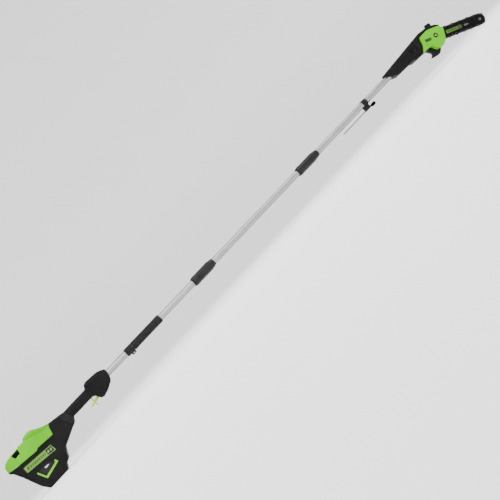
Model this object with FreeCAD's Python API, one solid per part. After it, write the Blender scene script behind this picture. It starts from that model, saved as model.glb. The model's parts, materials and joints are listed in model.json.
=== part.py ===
"""Battery pole saw: a sectional pole with a battery housing and trigger grip at the rear and a small
chain saw at the front, lying on the flat base of its housing and on the nose of its guide bar.

Stations along the pole are measured from the rear end of the housing and heights from the pole's
centreline; the export at the end moves every piece to the part's frame, whose origin is the centre
of the bottom of the bounding box. +X runs along the pole to the saw, +Z is up, and the bar is on the
-Y side.
"""
import FreeCAD, Part
import math
import os

V = FreeCAD.Vector

# ---------------------------------------------------------------- driving dimensions (mm)
GAP = 0.1                  # seam between pieces of one body
FIT = 0.06                 # radial running clearance of a shaft or sliding tube
SHELL = 3.0                # moulded wall
TUBE_R = 12.7              # pole tube, outside
TUBE_WALL = 1.3

HOUSING_HALF = 44.0        # half widths
HOOD_HALF = 46.0
SPINE_HALF = 31.0
BATTERY_HALF = 34.0
HANDLE_HALF = 19.0
BULB_HALF = 24.0

REAR_TUBE = (466.0, 1073.0)
MID_TUBE = (1077.0, 1718.0)
FRONT_TUBE = (1722.0, 2296.0)
COUPLER_1 = (1010.0, 1125.0, 20.8, 18.3)   # start, end, rear radius, front radius
COUPLER_2 = (1653.0, 1773.0, 20.0, 17.2)
COLLAR = (618.5, 656.5)    # strap collar
GRIP = (657.0, 813.5)      # foam grip
GRIP_R = 17.5
CLIP_X = 2087.0            # tool clip
WRENCH_Z = -29.5

BAR_Y = -27.0              # centre plane of bar and chain
BAR_TILT = 23.0            # degrees the bar drops below the pole
NOSE = (2752.4, -116.0)    # centre of the bar's nose
PITCH = 9.525              # rivet to rivet
DRIVE_LINKS = 36
DRIVE_TEETH = 6
NOSE_TEETH = 8
BELLY_R = 24.7             # rivet line along the bar
BELLY_FROM = 45.0          # the chain reaches its full height this far from each end
RAIL_DEPTH = 3.6           # bar edge below the rivet line
GROOVE_DEPTH = 3.4
BAR_HALF = 2.0             # half thickness of the guide bar
STUD_AT = 38.0             # bar stud from the sprocket, along the bar
TENSION_AT = STUD_AT + 22     # the bar's tension pin
TENSION_TRAVEL = 6.0

PINION_TEETH = 12
GEAR_TEETH = 48
MODULE = 1.0
MOTOR_R = 28.0


# ---------------------------------------------------------------- geometry helpers
NORMALS = {"xz": V(0, 1, 0), "xy": V(0, 0, 1), "yz": V(1, 0, 0)}


def on_plane(plane, u, v, w=0.0):
    """A point from its two coordinates on a plane and w along the plane's normal."""
    return {"xz": V(u, w, v), "xy": V(u, v, w), "yz": V(w, u, v)}[plane]


def outline(points, plane="xz", w=0.0):
    """Closed wire through (u, v) or (u, v, radius) corners; a radius rounds its corner."""
    count = len(points)
    starts, ends, middles = [], [], []
    for i, point in enumerate(points):
        here = V(point[0], point[1], 0)
        radius = point[2] if len(point) > 2 else 0.0
        if radius <= 0:
            starts.append(here)
            ends.append(here)
            middles.append(None)
            continue
        back = (V(*points[i - 1][:2], 0) - here).normalize()
        ahead = (V(*points[(i + 1) % count][:2], 0) - here).normalize()
        half = back.getAngle(ahead) / 2
        bisector = (back + ahead).normalize()
        starts.append(here + back * (radius / math.tan(half)))
        ends.append(here + ahead * (radius / math.tan(half)))
        middles.append(here + bisector * (radius / math.sin(half) - radius))
    edges = []
    for i in range(count):
        leave = on_plane(plane, ends[i].x, ends[i].y, w)
        if middles[i] is not None:
            reach = on_plane(plane, starts[i].x, starts[i].y, w)
            middle = on_plane(plane, middles[i].x, middles[i].y, w)
            edges.append(Part.Arc(reach, middle, leave).toShape())
        following = starts[(i + 1) % count]
        if (following - ends[i]).Length > 1e-4:
            arrive = on_plane(plane, following.x, following.y, w)
            edges.append(Part.LineSegment(leave, arrive).toShape())
    return Part.Wire(edges)


def prism(points, low, high, plane="xz", inset=0.0):
    """An outline extruded along its plane's normal from low to high, drawn in by inset."""
    face = Part.Face(outline(points, plane, low))
    if inset:
        face = face.makeOffset2D(-inset)
    return face.extrude(NORMALS[plane] * (high - low))


def box(x0, x1, y0, y1, z0, z1):
    return Part.makeBox(x1 - x0, y1 - y0, z1 - z0, V(x0, y0, z0))


def rod(radius, start, end):
    """Cylinder between two points."""
    start, end = V(*start), V(*end)
    return Part.makeCylinder(radius, (end - start).Length, start, end - start)


def ring(outer, inner, start, end):
    """Hollow cylinder between two points."""
    return rod(outer, start, end).cut(rod(inner, start, end))


def turned(profile, y=0.0, z=0.0):
    """Solid turned about the X direction through y, z from (station, radius, corner) points."""
    solid = Part.Face(outline(profile)).revolve(V(0, 0, 0), V(1, 0, 0), 360)
    solid.translate(V(0, y, z))
    return solid


def turned_y(profile, x, z):
    """Solid turned about the Y direction through x, z from (radius, y) points."""
    solid = Part.Face(outline(profile, "xy")).revolve(V(0, 0, 0), V(0, 1, 0), 360)
    solid.translate(V(x, 0, z))
    return solid


def fused(shapes):
    return shapes[0].multiFuse(shapes[1:]).removeSplitter()


def group(shapes):
    return Part.makeCompound(shapes)


def filleted(solid, radius, wanted):
    """Round the edges that wanted() accepts."""
    return solid.makeFillet(radius, [edge for edge in solid.Edges if wanted(edge)])


def in_plane(axis, level):
    """Accepts edges that lie wholly in the plane where the axis coordinate is level."""
    def wanted(edge):
        bounds = edge.BoundBox
        low, high = getattr(bounds, axis + "Min"), getattr(bounds, axis + "Max")
        return abs(low - level) < 0.01 and abs(high - level) < 0.01
    return wanted


def halves(solid):
    """Left (-Y) and right (+Y) mouldings of a solid, with a seam between them."""
    far = 400.0
    bounds = solid.BoundBox
    span = (bounds.XMin - far, bounds.XMax + far)
    left = solid.common(box(*span, -far, -GAP / 2, -far, far))
    right = solid.common(box(*span, GAP / 2, far, -far, far))
    return left, right


def screw(head, length, radius, at, direction, head_height=2.4, drive=1.3):
    """Pan screw whose head starts at a point and whose shank runs along the direction."""
    at, direction = V(*at), V(*direction).normalize()
    out = at - direction * head_height
    whole = fused([
        Part.makeCylinder(head, head_height, out, direction),
        Part.makeCylinder(radius, length, at, direction)])
    slot = Part.makeCylinder(drive, head_height * 0.6, out, direction)
    return whole.cut(slot)


def gear(teeth, module, y0, y1, centre, bore, turn=0.0):
    """Spur gear with straight flanks, thinner than half the pitch so that the mesh has backlash."""
    pitch_r = teeth * module / 2
    root, tip = pitch_r - 1.25 * module, pitch_r + 0.8 * module
    step = 2 * math.pi / teeth
    widths = ((root, 0.36), (pitch_r, 0.2), (tip, 0.08))
    points = []
    for k in range(teeth):
        middle = turn + k * step
        for radius, share in widths:
            angle = middle - share * step
            points.append((radius * math.cos(angle), radius * math.sin(angle)))
        for radius, share in reversed(widths):
            angle = middle + share * step
            points.append((radius * math.cos(angle), radius * math.sin(angle)))
    solid = prism(points, y0, y1).cut(rod(bore, (0, y0, 0), (0, y1, 0)))
    solid.translate(V(centre[0], 0, centre[1]))
    return solid


# ---------------------------------------------------------------- bar and chain, along the bar
SPROCKET_R = PITCH / (2 * math.sin(math.pi / (2 * DRIVE_TEETH)))     # rivet circle of the sprocket
NOSE_R = PITCH / (2 * math.sin(math.pi / (2 * NOSE_TEETH)))          # rivet circle of the nose


def chain_circles():
    """(station along the bar, radius) of the circles that the rivet line wraps."""
    lift_rear, lift_nose = BELLY_R - SPROCKET_R, BELLY_R - NOSE_R
    tilt_rear = math.asin(lift_rear / BELLY_FROM)
    tilt_nose = math.asin(lift_nose / BELLY_FROM)
    round_ends = (math.pi - 2 * tilt_rear) * SPROCKET_R + (math.pi - 2 * tilt_nose) * NOSE_R
    bends = 2 * (tilt_rear + tilt_nose) * BELLY_R
    slopes = 2 * (BELLY_FROM * math.cos(tilt_rear) + BELLY_FROM * math.cos(tilt_nose))
    straight = (2 * DRIVE_LINKS * PITCH - round_ends - bends - slopes) / 2
    reach = straight + 2 * BELLY_FROM
    return [(0.0, SPROCKET_R), (BELLY_FROM, BELLY_R), (reach - BELLY_FROM, BELLY_R), (reach, NOSE_R)]


CIRCLES = chain_circles()
REACH = CIRCLES[-1][0]                       # sprocket to nose
TILT = math.radians(BAR_TILT)
SPROCKET = (NOSE[0] - REACH * math.cos(TILT), NOSE[1] + REACH * math.sin(TILT))
CENTRES = (PINION_TEETH + GEAR_TEETH) * MODULE / 2
MOTOR = (SPROCKET[0] - CENTRES, SPROCKET[1])


def belt(inward):
    """Wire round the chain's circles, drawn in, from the rear of the sprocket over the top."""
    circles = [(s, r - inward) for s, r in CIRCLES]
    upper = []
    for (s0, r0), (s1, r1) in zip(circles, circles[1:]):
        tilt = math.asin((r1 - r0) / (s1 - s0))
        across, along = -math.sin(tilt), math.cos(tilt)
        upper.append((V(s0 + r0 * across, 0, r0 * along), V(s1 + r1 * across, 0, r1 * along)))

    def flipped(point):
        return V(point.x, 0, -point.z)

    rear_s, rear_r = circles[0]
    nose_s, nose_r = circles[-1]
    edges = [Part.Arc(flipped(upper[0][0]), V(rear_s - rear_r, 0, 0), upper[0][0])]
    for index, (start, end) in enumerate(upper):
        edges.append(Part.LineSegment(start, end))
        if index + 1 < len(upper):
            s, r = circles[index + 1]
            onward = upper[index + 1][0]
            middle = (end + onward) * 0.5 - V(s, 0, 0)
            edges.append(Part.Arc(end, V(s, 0, 0) + middle.normalize() * r, onward))
    over = [edge.toShape() for edge in edges[1:]]
    nose = Part.Arc(upper[-1][1], V(nose_s + nose_r, 0, 0), flipped(upper[-1][1])).toShape()
    under = [edge.mirror(V(0, 0, 0), V(0, 0, 1)) for edge in over]
    return Part.Wire(Part.__sortEdges__([edges[0].toShape()] + over + [nose] + under))


def to_bar(shape):
    """Move a shape drawn along the bar (X from the sprocket, Z across) to its place on the saw."""
    moved = shape.copy()
    moved.rotate(V(0, 0, 0), V(0, 1, 0), BAR_TILT)
    moved.translate(V(SPROCKET[0], BAR_Y, SPROCKET[1]))
    return moved


def bar_point(s, h, y=BAR_Y):
    """Station, y and height of a point s along the bar and h across it."""
    return (SPROCKET[0] + s * math.cos(TILT) + h * math.sin(TILT), y,
            SPROCKET[1] - s * math.sin(TILT) + h * math.cos(TILT))


def guide_bar():
    plate = Part.Face(belt(RAIL_DEPTH)).extrude(V(0, 2 * BAR_HALF, 0))
    plate.translate(V(0, -BAR_HALF, 0))
    tail = prism([(21, -10, 6), (21, 10, 6), (40, 30), (400, 30), (400, -30), (40, -30)], -9, 9)
    plate = plate.common(tail)
    groove_half = 0.7
    core = Part.Face(belt(RAIL_DEPTH + GROOVE_DEPTH)).extrude(V(0, 2 * groove_half, 0))
    block = Part.Face(belt(RAIL_DEPTH - 2)).extrude(V(0, 2 * groove_half, 0))
    groove = block.cut(core)
    groove.translate(V(0, -groove_half, 0))
    plate = plate.cut(groove)
    slot_half = 0.95
    pocket = ring(NOSE_R - RAIL_DEPTH - 0.5, 6.0, (REACH, -slot_half, 0), (REACH, slot_half, 0))
    slot_end = STUD_AT + TENSION_TRAVEL + 8
    stud_slot = prism([(STUD_AT - 7, -4.35, 4.3), (STUD_AT - 7, 4.35, 4.3),
                       (slot_end, 4.35, 4.3), (slot_end, -4.35, 4.3)], -9, 9)
    pin_hole = rod(2.6, (TENSION_AT, -9, TENSION_H), (TENSION_AT, 9, TENSION_H))
    oil_hole = rod(1.5, (STUD_AT - 3, -9, -12), (STUD_AT - 3, 9, -12))
    return plate.cut(pocket).cut(stud_slot).cut(pin_hole).cut(oil_hole)


def nose_sprocket():
    star = gear(NOSE_TEETH, 3.6, -0.6, 0.6, (REACH, 0), 6.0 + FIT)
    return star.common(rod(16.9, (REACH, -1, 0), (REACH, 1, 0)))


def link_plate(y0, y1, extra=None):
    """Figure-eight plate round two rivets, with any extra lobes, and its rivet holes."""
    lobes = [rod(3.3, (0, y0, 0), (0, y1, 0)), rod(3.3, (PITCH, y0, 0), (PITCH, y1, 0)),
             box(0, PITCH, y0, y1, -2.6, 2.6)]
    plate = fused(lobes + ([prism(extra, y0, y1)] if extra else []))
    for x in (0, PITCH):
        plate = plate.cut(rod(2.05, (x, y0, 0), (x, y1, 0)))
    return plate


def cutter(side):
    """Cutting link: side plate with depth gauge and gullet, and a top plate bent over the chain."""
    tooth = [(-3.3, 0), (-2.6, 4.4, 0.6), (4.6, 4.9), (4.2, 2.2, 1.2), (6.6, 1.6, 1.2), (7.6, 4.1, 0.6),
             (11.0, 3.9, 0.8), (PITCH + 3.3, 0)]
    plate = link_plate(0.75, 1.75, tooth)
    web = prism([(0.75, 3.6), (1.75, 3.6), (3.1, 4.8), (3.1, 5.3), (2.0, 5.3)], -2.4, 4.5, "yz")
    top = box(-2.4, 4.7, -0.8, 3.1, 4.5, 5.3)
    whole = fused([plate, web, top])
    return whole if side > 0 else whole.mirror(V(0, 0, 0), V(0, 1, 0))


def chain():
    """Compounds of drive links, riveted tie straps and cutters, placed round the bar."""
    tang = [(0.2, -2), (1.6, -5.6, 1.0), (4.8, -6.4, 1.0), (7.4, -4.6, 1.0), (PITCH - 0.2, -2)]
    drive = link_plate(-0.6, 0.6, tang)
    straps = {side: link_plate(*sorted((side * 0.75, side * 1.75))) for side in (-1, 1)}
    cutters = {side: cutter(side) for side in (-1, 1)}
    pin = fused([rod(1.9, (0, -1.85, 0), (0, 1.85, 0)), rod(2.5, (0, 1.85, 0), (0, 2.2, 0)),
                 rod(2.5, (0, -2.2, 0), (0, -1.85, 0))])
    route = belt(0.0).discretize(Number=2 * DRIVE_LINKS + 1)[:-1]
    drives, ties, teeth = [], [], []
    for k, here in enumerate(route):
        ahead = route[(k + 1) % len(route)]
        turn = math.degrees(math.atan2(ahead.z - here.z, ahead.x - here.x))
        place = FreeCAD.Placement(here, FreeCAD.Rotation(V(0, 1, 0), -turn))

        def put(shape):
            copy = shape.copy()
            copy.Placement = place
            return copy

        ties.append(put(pin))
        strap = k // 2
        if k % 2 == 0:
            drives.append(put(drive))
        elif strap % 2 == 0:
            side = 1 if strap % 4 == 0 else -1
            teeth.append(put(cutters[side]))
            ties.append(put(straps[-side]))
        else:
            ties += [put(straps[1]), put(straps[-1])]
    return [to_bar(group(shapes)) for shapes in (drives, ties, teeth)]


CHAIN = dict(zip(("chain_drive_links", "chain_tie_straps", "chain_cutters"), chain()))
FLOOR = CHAIN["chain_cutters"].optimalBoundingBox().ZMin      # the nose and the housing stand on one floor


# ---------------------------------------------------------------- battery housing and hood
def housing_profile():
    return [(0, 4), (2.6, 8.4), (40, 1, 20), (130, -9.6, 6), (141, -4.2, 6), (212, -10.6, 4),
            (221, 18), (229, 31), (267, 24.8), (271.7, 2.7), (283.7, -26.4), (287.5, -42.5),
            (267, -52, 60), (212, -77, 14), (198, -98, 20), (190, -114, 8), (170, -124, 6),
            (157, FLOOR, 6), (68, FLOOR, 12), (50, -115, 30), (26.7, -44, 60), (11.5, -7.6, 10)]


HOUSING_PLAN = [(-5, -34), (45, -HOUSING_HALF, 40), (190, -HOUSING_HALF, 60), (262, -25, 30), (300, -21),
                (300, 21), (262, 25, 30), (190, HOUSING_HALF, 60), (45, HOUSING_HALF, 40), (-5, 34)]
HOOD_PLAN = [(-3, -30, 8), (20, -40, 20), (60, -HOOD_HALF, 40), (185, -HOOD_HALF, 60), (240, -27),
             (240, 27), (185, HOOD_HALF, 60), (60, HOOD_HALF, 40), (20, 40, 20), (-3, 30, 8)]
HOOD_SIDE = [(0.3, 9), (4.4, 30, 8), (17.8, 41.5, 12), (42, 48, 30), (120, 53, 20), (160, 40, 30),
             (196, 26, 30), (231, 24), (222, 16), (212.6, -10.2, 2), (141, -3.8, 6), (130, -9.2, 6),
             (40, 1.4, 20), (2.6, 8.8)]
SPINE_SIDE = [(110, 40), (117, 51, 6), (122, 61.5, 4), (143, 66.5, 6), (160, 66, 14), (178, 54, 40),
              (200, 42, 40), (229.4, 31.2), (222, 18), (150, 30)]
SPINE_PLAN = [(108, -SPINE_HALF, 6), (190, -SPINE_HALF, 60), (235, -24), (235, 24), (190, SPINE_HALF, 60),
              (108, SPINE_HALF, 6)]
BAY = (176.0, -113.5, -12.5)     # front, floor and roof of the battery bay
BAY_HALF = BATTERY_HALF + 0.6


def from_plan(side, plan, inset=0.0):
    """Solid whose side view and plan are both given."""
    return prism(side, -70, 70, inset=inset).common(prism(plan, -200, 120, "xy", inset))


def section(half, top, top_corner, bottom, bottom_corner, x0, x1):
    """Rounded cross-section extruded along the pole."""
    return prism([(half, bottom, bottom_corner), (half, top, top_corner), (-half, top, top_corner),
                  (-half, bottom, bottom_corner)], x0, x1, "yz")


def runs_along(edge, steepest=0.35):
    """True for an edge that runs along a flank rather than across the part."""
    run = edge.Vertexes[-1].Point - edge.Vertexes[0].Point
    return abs(run.y) < steepest * run.Length and abs(edge.CenterOfMass.y) > 20


def housing_shell():
    profile = housing_profile()
    outer = from_plan(profile, HOUSING_PLAN)
    outer = filleted(outer, 7.0, lambda edge: runs_along(edge) and edge.CenterOfMass.z < -20
                     and edge.CenterOfMass.x < 262)
    inner = [(13, -5), (50, -3.5), (128, -13.5), (141, -9), (210, -14.5), (224, 20), (262, 20), (268.5, -1),
             (280, -28), (280, -42), (266, -48), (208, -73), (194, -98), (186, -111), (168, -120.5),
             (154, FLOOR + 4), (70, FLOOR + 4), (53, -116), (31, -45)]
    narrow = [(x, y - math.copysign(SHELL, y), *corner) for x, y, *corner in HOUSING_PLAN]
    hollow = prism(inner, -70, 70).common(prism(narrow, -200, 120, "xy"))
    front, floor, roof = BAY
    liner = box(-10, front + 2.5, -BAY_HALF - 2.5, BAY_HALF + 2.5, floor - 2.5, roof + 2.5)
    liner = liner.common(outer)
    bay = box(-10, front, -BAY_HALF, BAY_HALF, floor, roof)
    shell = fused([outer.cut(hollow), liner]).cut(bay)
    openings = [
        box(114, 152, -6, 6, roof - 1, 20),                      # latch nose
        box(front - 1, front + 4, -24, 24, -80, -30),            # terminal block
        box(281, 300, -12, 12, -20, 14)]                         # wires to the handle
    for opening in openings:
        shell = shell.cut(opening)
    return shell.cut(housing_screws())


def battery_case():
    rear = [(15, -14, 4), (27.5, -44, 60), (51, -112, 3), (172, -112, 6), (172, -14, 6)]
    case = prism(rear, -BATTERY_HALF, BATTERY_HALF)
    groove = box(100, 180, -7, 7, -22, -10)
    sockets = group([box(150, 180, y - 1.2, y + 1.2, -72, -40) for y in (-15, -5, 5, 15)])
    inside = box(58, 148, -BATTERY_HALF + 3, BATTERY_HALF - 3, -106, -30)
    return case.cut(groove).cut(sockets).cut(inside)


def battery_cells():
    """Two layers of cylindrical cells lying across the pack."""
    cells = []
    for row in range(3):
        for column in range(4):
            x, z = 70 + column * 22.0, -94 + row * 22.0
            cells.append(rod(10.5, (x, -30, z), (x, 30, z)))
    return group(cells)


def battery_contacts():
    return group([box(153, 166, y - 1.15, y - 0.75, -70, -42) for y in (-15, -5, 5, 15)])


def terminal_block():
    block = box(BAY[0] - 0.6, BAY[0] + 8, -23.5, 23.5, -79, -31)
    blades = [box(BAY[0] - 16, BAY[0] + 1, y - 0.5, y + 0.5, -68, -44) for y in (-15, -5, 5, 15)]
    return fused([block] + blades)


LATCH_PIVOT = (97.0, 39.0)
PAD = (51.0, 87.0, 23.0)         # start, end and half width of the release button's opening


def hood():
    def rounded(side, plan, half, top, corner, inset=0.0):
        body = from_plan(side, plan, inset)
        return body.common(section(half + 1 - inset, top - inset, corner - inset, -80, 2, -20, 260))

    wide, hollow_wide = (rounded(HOOD_SIDE, HOOD_PLAN, HOOD_HALF, 56, 24, inset) for inset in (0, SHELL))
    spine, hollow_spine = (rounded(SPINE_SIDE, SPINE_PLAN, SPINE_HALF, 69, 20, inset) for inset in (0, SHELL))
    whole = fused([wide, spine]).cut(hollow_wide).cut(hollow_spine)
    whole = whole.cut(prism(housing_profile(), -70, 70))
    open_base = from_plan([(5, -3), (17, 15), (200, 15), (219, 0), (213, -23), (17, -23)], HOOD_PLAN, SHELL)
    button_hole = box(PAD[0] - 2.2, PAD[1] + 0.6, -PAD[2] - 0.6, PAD[2] + 0.6, 26, 80)
    scoop = prism([(PAD[0] + 6, 27.5, 6), (PAD[1] - 5, 27.5, 8), (PAD[1] + 1, 60), (PAD[0] - 2.5, 60)],
                  -70, 70)
    scoop = scoop.cut(box(0, 200, -33, 33, -20, 90))
    bump = rod(5.0, (89.4, -16, 49.6), (89.4, 16, 49.6))
    shell = fused([whole.cut(open_base).cut(button_hole).cut(scoop), bump.cut(button_hole)])
    x, z = LATCH_PIVOT
    ears = [box(x - 4.5, x + 4.5, *sorted((side * 5.2, side * 9)), z - 5, 50.5) for side in (-1, 1)]
    return fused([shell, rod(2.0, (x, -11, z), (x, 11, z))] + ears)


def release_button():
    """Rocker: the pad behind the pivot goes down and lifts the nose out of the pack's groove."""
    x, z = LATCH_PIVOT
    pad = prism([(PAD[0], 30, 3), (PAD[0], 47.2, 4), (PAD[1], 50.4, 4), (PAD[1], 30, 3)],
                -PAD[2], PAD[2])
    pad = filleted(pad, 4.0, lambda edge: abs(edge.CenterOfMass.y) > PAD[2] - 0.01
                   and edge.CenterOfMass.z > 40)
    arm = prism([(PAD[1] - 6, 31, 3), (126, 31, 6), (137, 12), (137, -15.6, 2), (131, -15.6, 2),
                 (129, 10, 4), (122, 22, 6), (PAD[1] - 6, 23, 3)], -4.5, 4.5)
    eye = rod(6.0, (x, -4.5, z), (x, 4.5, z))
    neck = box(x - 4, x + 4, -4.5, 4.5, 28, z)
    whole = fused([pad, arm, eye, neck])
    return whole.cut(rod(2.0 + FIT, (x, -6, z), (x, 6, z)))


def label_plate(side):
    """Raised name strip on the side of the housing."""
    face = [(52.1, -18.8, 1.5), (179.5, -31.2, 1.5), (181.3, -57.7, 1.5), (50.4, -42.1, 1.5)]
    low, high = sorted((side * (HOUSING_HALF + GAP), side * (HOUSING_HALF + 1.1)))
    return prism(face, low, high)


def side_trim(side):
    """V-shaped accent strip round the recessed triangle."""
    band = [(70.3, -70, 1.5), (75.7, -67.4, 1.5), (89.6, -101.2, 1), (148.4, -88, 1), (146.6, -82.4, 1),
            (151.8, -80.2, 1), (158, -93.8, 2), (86, -110.5, 3)]
    low, high = sorted((side * (HOUSING_HALF + GAP), side * (HOUSING_HALF + 1.6)))
    return prism(band, low, high)


def controller_board():
    board = box(188, 256, -17, 17, -34, -32.4)
    parts = [box(191 + 16 * k, 201 + 16 * k, -12 + 4 * (k % 2), 2, -32.4, -22) for k in range(4)]
    return fused([board] + parts)


def housing_screws():
    """Screws that clamp the mouldings of housing and handle from the +Y side."""
    spots = ((60, -124, 42.4), (150, -128, 42.4), (204, -66, 40.6), (262, -34, 24.4), (330, 0, HANDLE_HALF),
             (446, 24, 23.4), (494, -24, 20.4))
    return group([screw(3.4, 10, 1.5, (x, y, z), (0, -1, 0)) for x, z, y in spots])


def neck_collar():
    """Ring between housing and handle."""
    band = [(267.2, 25.6), (294.6, 19.4), (304, 2), (311.5, -20.6), (299.4, -37.4, 4), (287.8, -43.4),
            (284, -26.4), (272, 2.7)]
    whole = prism(band, -22.5, 22.5).common(section(22.5, 27, 12, -45, 12, 250, 330))
    core = box(250, 330, -15, 15, -22, 14)
    return whole.cut(core)


# ---------------------------------------------------------------- handle, trigger and switch
TRIGGER_PIVOT = (433.0, -33.0)
LOCK_PIVOT = (404.0, -10.0)
SWITCH_Z = -17.0


def handle_shell():
    grip = [(295, 19.2), (332, 19.9, 60), (412, 20.2), (440, 20), (440, -21), (411, -21.2), (330, -21.4, 60),
            (312, -21.0), (304.4, 2)]
    bar = prism(grip, -30, 30).common(section(HANDLE_HALF, 20.4, 14, -21.5, 14, 280, 440))
    bulb_side = [(404, 18), (411, 21, 6), (421, 36, 14), (434, 39.6, 30), (492, 34, 50), (519, 19.4, 8),
                 (517, -2, 60), (512, -18, 40), (505, -29, 20), (472, -46, 60), (445, -53.5, 9),
                 (434, -50, 6), (421, -26, 10), (408, -19)]
    bulb_plan = [(404, -HANDLE_HALF, 10), (432, -BULB_HALF, 20), (490, -BULB_HALF, 30), (519, -17.5),
                 (519, 17.5), (490, BULB_HALF, 30), (432, BULB_HALF, 20), (404, HANDLE_HALF, 10)]
    bulb = from_plan(bulb_side, bulb_plan).common(section(BULB_HALF, 40, 19, -54, 16, 400, 520))
    outer = fused([bar, bulb])
    inside = from_plan(bulb_side, bulb_plan, SHELL).common(
        section(BULB_HALF - SHELL, 40 - SHELL, 19 - SHELL, SHELL - 54, 16 - SHELL, 400, 520))
    bore = prism(grip, -30, 30, inset=0.01).common(
        section(HANDLE_HALF - SHELL, 17.4, 11, -18.5, 11, 280, 440))
    seat = box(462, 520, -30, 30, -18, 18).common(inside)
    shell = outer.cut(inside).cut(bore).fuse(seat)
    tube_seat = rod(TUBE_R + 0.05, (REAR_TUBE[0] - 1, 0, 0), (530, 0, 0))
    wire_way = rod(5, (455, 0, 0), (470, 0, 0))
    trigger_gap = box(404, TRIGGER_PIVOT[0] + 8, -6.8, 6.8, -56, -18)
    lock_gap = box(395, 412, -3.2, 3.2, -26, -14)
    return shell.cut(tube_seat).cut(wire_way).cut(trigger_gap).cut(lock_gap).cut(
        housing_screws()).cut(handle_pins())


def trigger():
    """Finger lever under the handle; squeezing lifts its tip and pushes the switch plunger forward."""
    x, z = TRIGGER_PIVOT
    blade = [(x + 5, -27, 4), (x - 8, -30.5, 10), (x - 20, -34, 30), (x - 36, -37.5, 30), (x - 48, -43, 3),
             (x - 51, -47.5, 3), (x - 46, -50, 3), (x - 32, -45.5, 30), (x - 16, -43, 30), (x + 2, -41.5, 6),
             (x + 7, -34, 4)]
    lever = prism(blade, -6, 6)
    arm = prism([(x - 4.5, -34), (x - 2, SWITCH_Z + 4, 1.5), (x + 3, SWITCH_Z + 4, 1.5), (x + 5, -31)],
                -4, 4)
    whole = fused([lever, arm]).cut(rod(2.0 + FIT, (x, -9, z), (x, 9, z)))
    lock_slot = box(397.5, 413.5, -3.0, 3.0, -60, -20)
    return whole.cut(lock_slot)


def handle_pins():
    """Hinge pins of the trigger and of the lock-off lever."""
    x, z = TRIGGER_PIVOT
    lock_x, lock_z = LOCK_PIVOT
    return group([rod(2.0, (x, -11, z), (x, 11, z)), rod(1.5, (lock_x, -13, lock_z), (lock_x, 13, lock_z))])


def lock_lever():
    """Thin lock-off blade that hangs through the trigger's slot."""
    x, z = LOCK_PIVOT
    blade = prism([(x - 5, z + 5, 4), (x + 5, z + 5, 4), (x + 2.2, z - 12, 8), (x + 2.2, -52, 8),
                   (x + 4, -56, 1), (x - 1, -57, 1), (x - 2.2, -50, 8), (x - 2.2, z - 12, 8)], -2.2, 2.2)
    return blade.cut(rod(1.5 + FIT, (x, -9, z), (x, 9, z)))


def microswitch():
    """Snap-action switch ahead of the trigger's arm."""
    body = box(445, 461, -5, 5, SWITCH_Z - 9, SWITCH_Z + 4)
    return body.cut(box(440, 457, -1.6, 1.6, SWITCH_Z - 1.6, SWITCH_Z + 1.6))


def switch_plunger():
    x = TRIGGER_PIVOT[0] + 3
    return box(x + 0.95, x + 15, -1.2, 1.2, SWITCH_Z - 1.2, SWITCH_Z + 1.2)


# ---------------------------------------------------------------- pole
def pole_tube(span):
    return ring(TUBE_R, TUBE_R - TUBE_WALL, (span[0], 0, 0), (span[1], 0, 0))


def socket(coupler, joint):
    """Sleeve fixed round the rear tube's end; the next tube slides into it up to the joint."""
    start, end, rear_r, front_r = coupler
    body = turned([(start - 4, 0), (start - 4, rear_r - 2.2, 0.8), (start, rear_r - 2.2), (start, 16.0),
                   (end, 16.0), (end, front_r - 1.9), (end + 3, front_r - 2.6, 0.8), (end + 3, 0)])
    grip = rod(TUBE_R + 0.02, (start - 5, 0, 0), (joint, 0, 0))
    guide = rod(TUBE_R + FIT, (joint - 0.5, 0, 0), (end + 5, 0, 0))
    return body.cut(grip).cut(guide)


def coupler_sleeve(coupler):
    """Clamping sleeve that twists on the socket; it tapers to the front and has a grip band."""
    start, end, rear_r, front_r = coupler
    start, end = start + 0.3, end - 0.3
    sleeve = turned([(start, 0), (start, rear_r - 1, 2), (start + 6, rear_r, 3), (start + 20, rear_r, 6),
                     (start + 24, rear_r - 0.9, 4), (end - 8, front_r, 6), (end, front_r - 2.4, 2), (end, 0)])
    ribs = []
    for k in range(6):
        rib = box(start + 28, end - 18, rear_r - 2.2, rear_r - 0.4, -1.6, 1.6)
        rib.rotate(V(0, 0, 0), V(1, 0, 0), 60 * k + 30)
        ribs.append(rib)
    return sleeve.fuse(ribs).removeSplitter().cut(rod(16.0 + FIT, (start - 5, 0, 0), (end + 5, 0, 0)))


def lead(start, end, pins=False, sockets=False):
    """Power lead inside one tube, with a pin half behind or a socket half ahead of it."""
    inner = TUBE_R - TUBE_WALL - 0.02
    pieces = [rod(2.6, (start + 4 if pins else start, 0, 0), (end - 8 if sockets else end, 0, 0))]
    if pins:
        pieces.append(rod(inner, (start, 0, 0), (start + 12, 0, 0)))
        pieces += [rod(1.1, (start - 13, y, 0), (start + 1, y, 0)) for y in (-4.5, 4.5)]
    if sockets:
        pieces.append(rod(inner, (end - 16, 0, 0), (end, 0, 0)))
    whole = fused(pieces)
    if sockets:
        for y in (-4.5, 4.5):
            whole = whole.cut(rod(1.5, (end - 12, y, 0), (end + 1, y, 0)))
    return whole


def strap_collar():
    start, end = COLLAR
    collar = turned([(start, 0), (start, 16.2, 1.5), (start + 4, 17.4, 2), (end - 3, 17.4, 1), (end, 17, 0.8),
                     (end, 0)])
    lug = prism([(634, -10), (636, -25.8, 3), (654, -25.8, 3), (655.5, -10)], -4.5, 4.5)
    eye = rod(2.6, (645, -9, -20.6), (645, 9, -20.6))
    return fused([collar, lug]).cut(eye).cut(rod(TUBE_R + 0.02, (start - 1, 0, 0), (end + 1, 0, 0)))


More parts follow.
